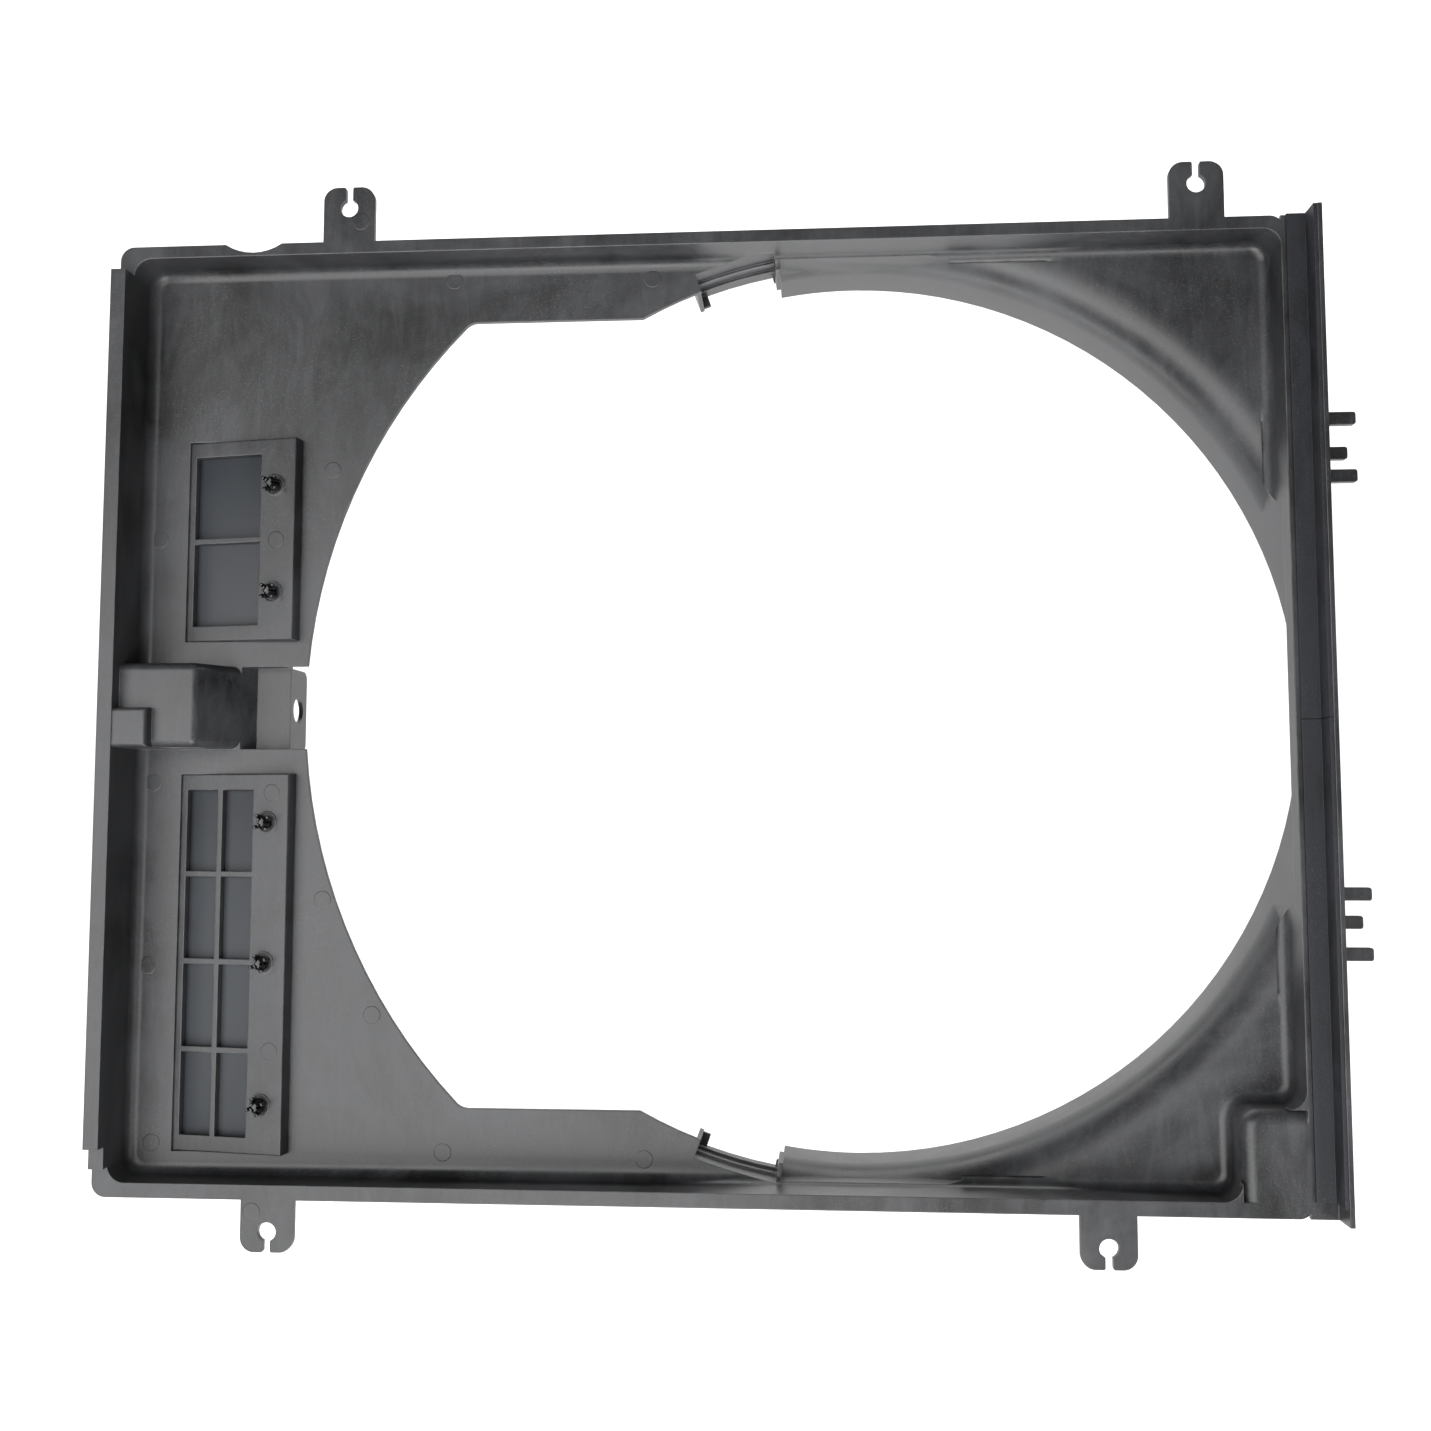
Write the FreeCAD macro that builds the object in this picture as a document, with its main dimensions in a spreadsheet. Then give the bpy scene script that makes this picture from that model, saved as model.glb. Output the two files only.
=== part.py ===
import FreeCAD, Part
import Sketcher
import math
import os
import re

# Radiator fan shroud for a pickup: one deep tray moulding with half a fan ring, two
# flap vents held by push rivets, and two seal strips along the right rail.
# X runs to the right, Y from the radiator towards the engine, Z up.
# The origin is where the fan axis meets the front plane of the flange.

doc = FreeCAD.newDocument("RadiatorFanShroud")
sheet = doc.addObject("Spreadsheet::Sheet", "Sizes")

SIZES = {
    # flange and tray
    "flangeLeft": 425, "ringUnder": 22.5, "ringAbove": 10, "ringBelow": 15,
    "flangeThick": 2.5, "flangeCorner": 8,
    "rimTop": 7, "rimBottom": 8, "rimSide": 8.5, "rimRight": 2,
    "wall": 2.5, "trayDepth": 24, "trayCorner": 10, "trayFillet": 6,
    # fan ring, its bell mouth and the flat where it runs under the right rail
    "ringRadius": 257.5, "ringDraft": 1, "ringEnd": 72, "mouthRadius": 24,
    "ringCut": 9.5, "bulgeProud": 5, "bulgeStart": 8,
    # cut-out that takes the loose half of the ring
    "cutRadius": 318.5, "cutStep": 31, "cutCorner": 10,
    # sockets for the loose half of the ring
    "socketSpan": 10, "socketDepth": 10.5, "socketEnd": 62,
    "socketMouth": 3, "socketRib": 1.6, "socketRibStep": 12, "tongueLength": 7, "tongueDrop": 7,
    # raised rail on the left edge
    "leftRailHeight": 11, "leftRailTop": 17, "leftRailBottom": 28,
    "leftStepHeight": 4.5, "leftStepLength": 12,
    # right rail: shelf and upright
    "shelfWidth": 15, "uprightFront": 15, "uprightBack": 20,
    # seal strips
    "sealThick": 2, "sealJoint": 10.5, "sealGap": 0.4, "sealInset": 0.5, "sealBottom": 9,
    # fixing tabs with keyholes
    "tabWidth": 30, "tabReachTop": 32, "tabReachBottom": 28, "tabThick": 3, "tabCorner": 8,
    "keyholeRadius": 5.1, "keyholeNeck": 3.9, "keyholeRise": 19.5, "keyholeDrop": 17, "neckRound": 1.2,
    "tabTopLeft": 290, "tabTopRight": 188, "tabBottomLeft": 325, "tabBottomRight": 129,
    "gussetReach": 5, "gussetThick": 2,
    # bracket saddle between the two vents
    "saddleCentre": 0.5, "saddleWidth": 48, "saddleFront": 3, "saddleLength": 44, "saddleRun": 21.5,
    "channelDepth": 34, "bracketInset": 94, "bracketReach": 60, "bracketHole": 7.6,
    "bracketHoleDepth": 46.5, "bracketCorner": 5, "saddleRound": 5, "lugRound": 2.5,
    "lugLength": 19.5, "lugHeight": 22, "lugFront": 10,
    # raised corner block at the bottom right
    "blockWidth": 34, "blockHeight": 48, "blockRound": 8, "blockSkin": 4.5, "pitCorner": 3,
    # shallow bite in the top edge of the flange
    "biteCentre": 346, "biteRadius": 30, "biteDepth": 5,
    # flap vents
    "ventInset": 34, "ventWidth": 67.5, "ventTilt": 8.5, "ventSunk": 1.5, "ventThick": 4, "ventReach": 20,
    "ventMarginLeft": 3.5, "ventMarginRight": 22, "ventMarginEnd": 9, "barWidth": 3,
    "upperCentre": 98.7, "upperHeight": 118.5, "lowerCentre": -145.3, "lowerHeight": 214.5,
    "rivetEdge": 13, "rivetEnd": 27.75,
    "bossRadius": 6.2, "bossHeight": 1, "bossWall": 1, "ventEdge": 0.8,
    # flaps
    "flapThick": 2, "flapGap": 0.3, "flapLapSide": 3, "flapLapEnd": 4, "hingeInset": 1, "rootInset": 3,
    # push rivets
    "rivetHole": 3.3, "rivetFit": 0.1, "rivetHead": 6, "rivetHeadThick": 1.8, "rivetNose": 8,
    "barbRadius": 4.1, "barbBack": 1.5, "barbFront": 4.5, "noseRadius": 2.4, "slotWidth": 1.2,
    "pinRadius": 1.4, "pinFit": 0.1, "pinHead": 2.8, "pinHeadThick": 0.8, "pinTip": 7,
    # hose clips on the right rail
    "clipAbove": 42.6, "clipBelow": 25, "prongPitch": 15.8, "prongHeight": 7, "prongThick": 3.5,
    "prongReach": 16, "clipGap": 9.5, "clipFront": 1.5, "clipBase": 3, "prongCorner": 1.5,
    # stiffening ribs behind the panel
    "ribThick": 2.5, "ribReach": 27.5, "ribTop": 58, "ribStart": 33, "ribStep": 8,
}
for row, (alias, value) in enumerate(SIZES.items(), start=1):
    sheet.set(f"A{row}", alias)
    sheet.set(f"B{row}", str(value))
    sheet.setAlias(f"B{row}", alias)
doc.recompute()

WORD = re.compile(r"\b[a-z][A-Za-z]+\b")


def cells(expression):
    """Prefix each alias of the sheet with the sheet's name."""
    def prefixed(match):
        return "Sizes." + match.group() if match.group() in SIZES else match.group()
    return WORD.sub(prefixed, str(expression))


def bind(thing, **expressions):
    for path, expression in expressions.items():
        thing.setExpression(path.replace("_", "."), cells(expression))


def place(thing, x="0", y="0", z="0", axis=(0, 0, 1), angle=None):
    """Bind a position and, where an angle is given, a turn about the axis."""
    if angle is not None:
        thing.Placement.Rotation = FreeCAD.Rotation(FreeCAD.Vector(*axis), 1)
        bind(thing, Placement_Rotation_Angle=angle)
    bind(thing, Placement_Base_x=x, Placement_Base_y=y, Placement_Base_z=z)


def block(name, x, y, z):
    """Part::Box from (low, high) pairs of expressions."""
    made = doc.addObject("Part::Box", name)
    bind(made, Length=f"({x[1]}) - ({x[0]})", Width=f"({y[1]}) - ({y[0]})", Height=f"({z[1]}) - ({z[0]})")
    place(made, x[0], y[0], z[0])
    return made


def disc(name, radius, y, x="0", z="0"):
    """Part::Cylinder along +Y between two depths."""
    made = doc.addObject("Part::Cylinder", name)
    bind(made, Radius=radius, Height=f"({y[1]}) - ({y[0]})")
    place(made, x, y[0], z, axis=(1, 0, 0))
    made.Placement.Rotation = FreeCAD.Rotation(FreeCAD.Vector(1, 0, 0), -90)
    return made


def join(name, *shapes):
    made = doc.addObject("Part::MultiFuse", name)
    made.Shapes = list(shapes)
    return made


def overlap(name, *shapes):
    made = doc.addObject("Part::MultiCommon", name)
    made.Shapes = list(shapes)
    return made


def cut(name, base, *tools):
    made = doc.addObject("Part::Cut", name)
    made.Base = base
    made.Tool = tools[0] if len(tools) == 1 else join(name + "Tools", *tools)
    return made


def number(expression):
    """Value of an expression, for where a sketch line first stands."""
    return float(sheet.evalExpression(cells(expression)))


def newBody(name):
    return doc.addObject("PartDesign::Body", name)


def sketchOn(body, role, rise="0"):
    """Empty sketch on one of the body's own origin planes, moved by rise along its normal."""
    sketch = body.newObject("Sketcher::SketchObject", body.Name + "Sketch")
    plane = next(item for item in body.Origin.OriginFeatures if item.Role == role)
    sketch.AttachmentSupport = (plane, [""])
    sketch.MapMode = "FlatFace"
    bind(sketch, AttachmentOffset_Base_z=rise)
    return sketch


def hold(sketch, kind, index, end, expression):
    """Bind one coordinate of a point of the sketch."""
    at = sketch.addConstraint(Sketcher.Constraint(kind, -1, 1, index, end, number(expression)))
    sketch.setExpression(f"Constraints[{at}]", cells(expression))


def loop(sketch, points):
    """Closed outline. A point is (x, y), or (x, y, centreX, centreY) where an arc starts."""
    first = sketch.GeometryCount
    places = [FreeCAD.Vector(number(point[0]), number(point[1]), 0) for point in points]
    ends = []
    for step, point in enumerate(points):
        start, stop = places[step], places[(step + 1) % len(points)]
        if len(point) == 2:
            sketch.addGeometry(Part.LineSegment(start, stop), False)
            ends.append((1, 2))
            continue
        centre = FreeCAD.Vector(number(point[2]), number(point[3]), 0)
        turn = [math.atan2(spot.y - centre.y, spot.x - centre.x) for spot in (start, stop)]
        forward = (turn[1] - turn[0]) % (2 * math.pi) < math.pi
        circle = Part.Circle(centre, FreeCAD.Vector(0, 0, 1), (start - centre).Length)
        angles = turn if forward else turn[::-1]
        index = sketch.addGeometry(Part.ArcOfCircle(circle, angles[0], angles[1]), False)
        ends.append((1, 2) if forward else (2, 1))
        radius = f"sqrt(pow({point[0]} - ({point[2]}); 2) + pow({point[1]} - ({point[3]}); 2))"
        at = sketch.addConstraint(Sketcher.Constraint("Radius", index, (start - centre).Length))
        sketch.setExpression(f"Constraints[{at}]", cells(radius))
    for step, point in enumerate(points):
        index, after = first + step, first + (step + 1) % len(points)
        hold(sketch, "DistanceX", index, ends[step][0], point[0])
        hold(sketch, "DistanceY", index, ends[step][0], point[1])
        joint = (index, ends[step][1], after, ends[(step + 1) % len(points)][0])
        sketch.addConstraint(Sketcher.Constraint("Coincident", *joint))


def rectangle(sketch, x, y):
    loop(sketch, [(x[0], y[0]), (x[1], y[0]), (x[1], y[1]), (x[0], y[1])])


def ring(sketch, radius, x, y):
    centre = FreeCAD.Vector(number(x), number(y), 0)
    circle = Part.Circle(centre, FreeCAD.Vector(0, 0, 1), number(radius))
    index = sketch.addGeometry(circle, False)
    hold(sketch, "DistanceX", index, 3, x)
    hold(sketch, "DistanceY", index, 3, y)
    at = sketch.addConstraint(Sketcher.Constraint("Radius", index, number(radius)))
    sketch.setExpression(f"Constraints[{at}]", cells(radius))


def feature(body, kind, sketch, length, midplane=False, reverse=False):
    """Pad or Pocket of a sketch, with its length bound."""
    made = body.newObject("PartDesign::" + kind, body.Name + kind)
    made.Profile = sketch
    bind(made, Length=length)
    made.Midplane = midplane
    made.Reversed = reverse
    sketch.Visibility = False
    return made


def soften(body, base, radius, wanted, kind="Fillet"):
    """Fillet or chamfer the edges of the newest feature that the test picks."""
    doc.recompute()
    edges = [f"Edge{at}" for at, edge in enumerate(base.Shape.Edges, start=1) if wanted(edge)]
    made = body.newObject("PartDesign::" + kind, body.Name + kind)
    made.Base = (base, edges)
    bind(made, **{"Radius" if kind == "Fillet" else "Size": radius})
    return made


def runsAlong(axis):
    """Test for a straight edge parallel to an axis."""
    def test(edge):
        return edge.Curve.TypeId == "Part::GeomLine" and abs(edge.Curve.Direction.dot(axis)) > 0.999
    return test


def liesAt(axis, expression):
    """Test for an edge that lies wholly in the plane across an axis."""
    level = number(expression)

    def test(edge):
        return all(abs(end.Point.dot(axis) - level) < 0.01 for end in edge.Vertexes)
    return test


ACROSS, DEPTH, UPWARD = FreeCAD.Vector(1, 0, 0), FreeCAD.Vector(0, 1, 0), FreeCAD.Vector(0, 0, 1)


def slab(name, x, y, z, corner=None, floor=None, notch=None):
    """Body padded from y[0] towards +Y, with rounded corners and a rounded far face.

    A notch (width, height) is left out of its lower right corner.
    """
    body = newBody(name)
    sketch = sketchOn(body, "XZ_Plane", f"-({y[0]})")
    if notch:
        inX, inZ = f"{x[1]} - ({notch[0]})", f"{z[0]} + {notch[1]}"
        loop(sketch, [(x[0], z[0]), (inX, z[0]), (inX, inZ), (x[1], inZ), (x[1], z[1]), (x[0], z[1])])
    else:
        rectangle(sketch, x, z)
    made = feature(body, "Pad", sketch, f"({y[1]}) - ({y[0]})", reverse=True)
    if corner:
        made = soften(body, made, corner, runsAlong(DEPTH))
    if floor:
        soften(body, made, floor, liesAt(DEPTH, y[1]))
    return body


def bar(name, points, z):
    """Body with an outline in X and Y, padded up from z[0] to z[1]."""
    body = newBody(name)
    sketch = sketchOn(body, "XY_Plane", z[0])
    loop(sketch, points)
    feature(body, "Pad", sketch, f"({z[1]}) - ({z[0]})")
    return body


# ---- shroud moulding ---------------------------------------------------------------------

# the tray's top, bottom and right edges keep their distances from the ring
LEFT, RIGHT = "-flangeLeft", "ringRadius - ringUnder"
TOP, BOTTOM = "ringRadius + ringAbove", "-ringRadius - ringBelow"
PANEL_BACK = "trayDepth + wall"
caveX = (f"{LEFT} + rimSide", f"{RIGHT} - rimRight")
caveZ = (f"{BOTTOM} + rimBottom", f"{TOP} - rimTop")
outerX = (f"{caveX[0]} - wall", f"{caveX[1]} + wall")
outerZ = (f"{caveZ[0]} - wall", f"{caveZ[1]} + wall")
railZ = (f"{BOTTOM} + leftRailBottom", f"{TOP} - leftRailTop")
uprightX = (f"{RIGHT} + shelfWidth - wall", f"{RIGHT} + shelfWidth")
bulgeFlat = f"{uprightX[1]} + bulgeProud"
allDepth = ("0", "ringEnd")


def sweep(name, points, start, angle):
    """Body turned about the fan axis from an outline in (depth, radius).

    Angles run from straight up towards +X, in degrees.
    """
    body = newBody(name)
    sketch = sketchOn(body, "YZ_Plane")
    loop(sketch, points)
    made = body.newObject("PartDesign::Revolution", name + "Turn")
    made.Profile = sketch
    made.ReferenceAxis = (sketch, ["H_Axis"])
    bind(made, Angle=angle)
    sketch.Visibility = False
    place(body, axis=DEPTH, angle=start)
    return body


def ringSweep(name, y, radius, low, high, upper=True):
    """Square ring segment, between two angles off vertical on the cut-out's side."""
    points = [(y[0], radius[0]), (y[1], radius[0]), (y[1], radius[1]), (y[0], radius[1])]
    return sweep(name, points, f"-({high})" if upper else f"180 + {low}", f"({high}) - ({low})")


def bell(name, skin, front=None):
    """Solid inside the fan ring's inner face, or inside its outer face where skin is the wall."""
    throat, flat = f"ringRadius + ringDraft + {skin}", f"trayDepth + {skin}"
    centre = ("trayDepth + mouthRadius", "ringRadius + ringDraft + mouthRadius")
    points = [("ringEnd", "0"), ("ringEnd", f"ringRadius + {skin}"), (centre[0], throat, *centre),
              (flat, centre[1])]
    points += [(front, centre[1]), (front, "0")] if front else [(flat, "0")]
    return sweep(name, points, "-ringCut", "180 + 2 * ringCut")


def trayOutsides(seats):
    """What stands before the hollows are taken out: tray, flange, ring, rails, bulge and seats."""
    return [
        slab("TrayOutside", outerX, ("0", PANEL_BACK), outerZ, "trayCorner + wall", "trayFillet + wall"),
        slab("FlangePlate", (LEFT, RIGHT), ("0", "flangeThick"), (BOTTOM, TOP), "flangeCorner"),
        block("RailShelf", (caveX[1], uprightX[1]), ("0", "flangeThick"), (BOTTOM, TOP)),
        block("RailUpright", uprightX, ("-uprightFront", "uprightBack"), (BOTTOM, TOP)),
        block("LeftRail", (LEFT, caveX[0]), ("-leftRailHeight", "flangeThick"), railZ),
        block("LeftStep", (LEFT, caveX[0]), ("-leftStepHeight", "flangeThick"),
              (f"{railZ[0]} - leftStepLength", railZ[0])),
        overlap("RingOutside", bell("BellOutside", "wall", "0"),
                block("RingLimit", ("-ringRadius", outerX[1]), allDepth, outerZ)),
        overlap("BulgeOutside",
                disc("BulgeRound", "ringRadius + ringDraft + wall", ("bulgeStart", "ringEnd")),
                block("BulgeLimit", (caveX[1], f"{bulgeFlat} + wall"), allDepth, outerZ)),
        *backRibs(), *seats,
    ]


def cutOut():
    """Opening left of the fan axis: an arc between two level edges, with rounded corners."""
    body = newBody("CutOut")
    sketch = sketchOn(body, "XZ_Plane")
    top, low = "ringRadius - cutStep", "cutStep - ringRadius"
    end = f"-sqrt(pow(cutRadius; 2) - pow({top}; 2))"
    loop(sketch, [(end, top, "0", "0"), (end, low), ("0", low), ("0", top)])
    made = feature(body, "Pad", sketch, "ringEnd", reverse=True)
    soften(body, made, "cutCorner", lambda edge: runsAlong(DEPTH)(edge) and edge.CenterOfMass.x < -1)
    return body


def blockEdge():
    """What the rounding of the corner block's front edge takes away."""
    x, z = (f"{caveX[1]} - blockWidth", RIGHT), (BOTTOM, f"{caveZ[0]} + blockHeight")
    body = slab("BlockRounded", x, ("0", "trayDepth"), z)
    left, top, front = liesAt(ACROSS, x[0]), liesAt(UPWARD, z[1]), liesAt(DEPTH, "0")
    right, low = liesAt(ACROSS, x[1]), liesAt(UPWARD, z[0])
    made = soften(body, body.Tip, "trayCorner", lambda edge: left(edge) and top(edge))
    soften(body, made, "blockRound", lambda edge: front(edge) and not right(edge) and not low(edge))
    corner = block("BlockCorner", (x[0], caveX[1]), ("0", "trayCorner"), (caveZ[0], z[1]))
    return cut("BlockEdge", corner, body)


def trayHollows():
    """What is taken out of them, down to the panel and out through the ring and the cut-out."""
    return [
        slab("TrayHollow", caveX, ("0", "trayDepth"), caveZ, "trayCorner", "trayFillet",
             ("blockWidth", "blockHeight")),
        slab("BlockHollow", (f"{caveX[1]} - blockWidth + blockSkin", caveX[1]), ("blockSkin", PANEL_BACK),
             (caveZ[0], f"{caveZ[0]} + blockHeight - blockSkin"), "pitCorner"),
        blockEdge(),
        block("LeftRailHollow", (f"{LEFT} + wall", f"{caveX[0]} - wall"),
              ("-leftRailHeight + wall", "flangeThick"), (f"{railZ[0]} + wall", f"{railZ[1]} - wall")),
        overlap("RingHollow", bell("BellHollow", "0"),
                block("ThroatLimit", ("-ringRadius", caveX[1]), allDepth,
                      (f"{caveZ[0]} + trayFillet / 4", f"{caveZ[1]} - trayFillet / 4"))),
        overlap("BulgeHollow",
                disc("BulgeBore", "ringRadius + ringDraft", ("bulgeStart + wall", "ringEnd")),
                block("BulgeInner", ("0", bulgeFlat), allDepth, caveZ)),
        cutOut(),
        ringSweep("CutMouth", allDepth, ("0", "ringRadius"), "ringCut", "180 - ringCut"),
        disc("FlangeBite", "biteRadius", ("-1", "flangeThick"), "-biteCentre",
             f"{TOP} + biteRadius - biteDepth"),
    ]


def tab(name, centre, edge, reach, hole, up):
    """Fixing tab: plate with a keyhole open at its tip, and two gussets at its foot."""
    sign = "" if up else "-"
    foot, tip, eye = f"{edge} - {sign}wall", f"{edge} + {sign}({reach})", f"{edge} + {sign}({hole})"
    across = (f"{centre} - tabWidth / 2", f"{centre} + tabWidth / 2")
    atTip = liesAt(UPWARD, tip)
    plate = newBody(name)
    sketch = sketchOn(plate, "XZ_Plane")
    rectangle(sketch, across, (foot, tip))
    made = feature(plate, "Pad", sketch, "tabThick", reverse=True)
    soften(plate, made, "tabCorner", lambda edge: runsAlong(DEPTH)(edge) and atTip(edge))
    opening = sketchOn(plate, "XZ_Plane")
    ring(opening, "keyholeRadius", centre, eye)
    feature(plate, "Pocket", opening, "tabThick")
    slot = sketchOn(plate, "XZ_Plane")
    rectangle(slot, (f"{centre} - keyholeNeck / 2", f"{centre} + keyholeNeck / 2"), (eye, tip))
    made = feature(plate, "Pocket", slot, "tabThick")
    inner = number("tabWidth") / 2 - number("tabCorner") - 0.1
    soften(plate, made, "neckRound", lambda edge: runsAlong(DEPTH)(edge) and atTip(edge)
           and abs(edge.CenterOfMass.x - number(centre)) < inner)
    parts = [plate]
    for at, low in enumerate((f"{across[0]} + 1", f"{across[1]} - 1 - gussetThick")):
        gusset = newBody(f"{name}Gusset{at}")
        sketch = sketchOn(gusset, "YZ_Plane", low)
        loop(sketch, [("tabThick / 2", foot), ("tabThick + gussetReach", foot),
                      ("tabThick / 2", f"{edge} + {sign}gussetReach * 2")])
        feature(gusset, "Pad", sketch, "gussetThick")
        parts.append(gusset)
    return parts


def tabs():
    top, low = ("tabReachTop", "keyholeRise", True), ("tabReachBottom", "keyholeDrop", False)
    return (tab("TabTopLeft", "-tabTopLeft", TOP, *top) + tab("TabTopRight", "tabTopRight", TOP, *top)
            + tab("TabBottomLeft", "-tabBottomLeft", BOTTOM, *low)
            + tab("TabBottomRight", "tabBottomRight", BOTTOM, *low))


# Saddle between the vents: a raised pad that ramps down into a channel, which ends in
# the bracket plate for the loose half of the ring.
BRACKET = f"{LEFT} + bracketInset"
RAMP_START = f"{caveX[0]} + saddleLength"
RAMP_END = f"{RAMP_START} + saddleRun"
CHANNEL_BACK = "channelDepth + wall"
RAMP_SLOPE = "(channelDepth + saddleFront) / saddleRun"
RAMP_SHIFT = f"wall * tan(0.5 * atan({RAMP_SLOPE}))"     # offset of the ramp's corners on its back
FRONT_CROSS = f"{RAMP_START} + (trayDepth + saddleFront) / ({RAMP_SLOPE})"
BACK_CROSS = f"{FRONT_CROSS} - {RAMP_SHIFT}"
saddleZ = ("saddleCentre - saddleWidth / 2", "saddleCentre + saddleWidth / 2")
lugZ = (saddleZ[0], f"{saddleZ[0]} + lugHeight")
lugX = (f"{caveX[0]} - wall", f"{caveX[0]} + lugLength")


def onRamp(edge):
    """Test for an edge that runs down the ramp's face."""
    ends = sorted(end.Point.x for end in edge.Vertexes)
    return (len(ends) == 2 and abs(ends[0] - number(RAMP_START)) < 0.01
            and abs(ends[1] - number(RAMP_END)) < 0.01)


def saddleOutsides():
    ramp = [(RAMP_START, "-saddleFront"), (RAMP_END, "channelDepth")]
    under = [(f"{RAMP_END} - {RAMP_SHIFT}", CHANNEL_BACK), (BACK_CROSS, PANEL_BACK)]
    wide = (f"{saddleZ[0]} - wall", f"{saddleZ[1]} + wall")
    pad = bar("SaddlePad", [(outerX[0], "-saddleFront"), *ramp, *under, (outerX[0], PANEL_BACK)], saddleZ)
    lug = slab("Lug", lugX, ("-lugFront", "0"), lugZ)
    atCrest, atEnd = liesAt(DEPTH, "-saddleFront"), liesAt(ACROSS, outerX[0])
    atLugFront, atRail = liesAt(DEPTH, "-lugFront"), liesAt(ACROSS, lugX[0])
    soften(pad, pad.Tip, "saddleRound", lambda edge: not atEnd(edge) and (atCrest(edge) or onRamp(edge)))
    soften(lug, lug.Tip, "lugRound", lambda edge: atLugFront(edge) and not atRail(edge))
    return [
        pad,
        bar("ChannelSides", [(FRONT_CROSS, "trayDepth"), (BRACKET, "trayDepth"), (BRACKET, CHANNEL_BACK),
                             *under], wide),
        lug,
    ]


def saddleHollows():
    behind = [(caveX[0], "-saddleFront + wall"), (f"{RAMP_START} - {RAMP_SHIFT}", "-saddleFront + wall"),
              (BACK_CROSS, PANEL_BACK), (caveX[0], PANEL_BACK)]
    notch = "-cutRadius + saddleWidth"
    channel = [(FRONT_CROSS, "trayDepth"), (RAMP_END, "channelDepth"), (BRACKET, "channelDepth"),
               (BRACKET, "bracketReach"), (notch, "bracketReach"), (notch, "trayDepth")]
    return [
        bar("SaddleBehind", behind, (f"{saddleZ[0]} + wall", f"{saddleZ[1]} - wall")),
        bar("ChannelFront", channel, saddleZ),
        block("LugBehind", (caveX[0], f"{lugX[1]} - wall"), ("-lugFront + wall", "0"),
              (f"{lugZ[0]} + wall", f"{lugZ[1]} - wall")),
    ]


def bracketPlate():
    plate = newBody("BracketPlate")
    sketch = sketchOn(plate, "YZ_Plane", f"{BRACKET} - wall")
    rectangle(sketch, ("channelDepth", "bracketReach"), saddleZ)
    made = feature(plate, "Pad", sketch, "wall")
    atTip = liesAt(DEPTH, "bracketReach")
    soften(plate, made, "bracketCorner", lambda edge: runsAlong(ACROSS)(edge) and atTip(edge))
    eye = sketchOn(plate, "YZ_Plane", BRACKET)
    ring(eye, "bracketHole", "bracketHoleDepth", "saddleCentre")
    feature(plate, "Pocket", eye, "wall")
    return plate


def degrees(length):
    """Angle that a length takes up on the ring."""
    return f"({length}) / ringRadius * 180 / pi"


def socket(name, upper):
    """Seat for one end of the loose half ring: (outside, hollow, [ribs and tongues])."""
    low, high = f"ringCut + {degrees('wall')}", f"ringCut + {degrees('wall')} + socketSpan"
    farEnd, seat = f"{high} + {degrees('wall')}", "ringRadius + socketDepth"
    outside = ringSweep(name + "Outside", ("trayDepth - 2 * wall", "socketEnd"),
                        ("ringRadius + wall", f"{seat} + wall"), "ringCut", farEnd, upper)
    hollow = ringSweep(name + "Hollow", ("trayDepth - socketMouth", "socketEnd + 1"),
                       ("ringRadius - 1", seat), low, high, upper)
    rear = ("socketEnd - wall", "socketEnd")
    extras = [
        ringSweep(name + "Tongue", rear, (f"{seat} - tongueDrop", f"{seat} + wall / 2"),
                  f"{farEnd} - {degrees('tongueLength')}", farEnd, upper),
        ringSweep(name + "Stop", rear, (f"{seat} - tongueDrop / 2", f"{seat} + wall / 2"),
                  "ringCut", f"ringCut + {degrees('tongueLength / 2')}", upper),
    ]
    for step in (1, 2):
        start = f"trayDepth + {step} * socketRibStep"
        extras.append(ringSweep(f"{name}Rib{step}", (start, f"{start} + socketRib"),
                                (f"{seat} - socketRib", seat), low, high, upper))
    return outside, hollow, extras


def backRibs():
    """Gussets between the ring and the panel, in both right-hand corners."""
    ribs = []
    for at in range(3):
        turn = f"ribStart + {at} * ribStep"
        for side, turn in (("High", turn), ("Low", f"180 - ({turn})")):
            rib = newBody(f"Rib{side}{at}")
            sketch = sketchOn(rib, "YZ_Plane", "-ribThick / 2")
            foot = "ringRadius + ringDraft + wall / 2"
            loop(sketch, [(f"{PANEL_BACK} - wall / 2", foot), ("ribTop", foot),
                          (f"{PANEL_BACK} - wall / 2", "ringRadius + ribReach")])
            feature(rib, "Pad", sketch, "ribThick")
            rib.Placement.Rotation = FreeCAD.Rotation(DEPTH, 1)
            bind(rib, Placement_Rotation_Angle=turn)
            ribs.append(rib)
    return ribs


def inVent(thing, centre):
    """Stand a vent piece in the tilted frame of its window: u to the right, v back, z up."""
    place(thing, f"{LEFT} + ventInset", "trayDepth + ventSunk", centre, angle="-ventTilt")
    return thing


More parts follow.
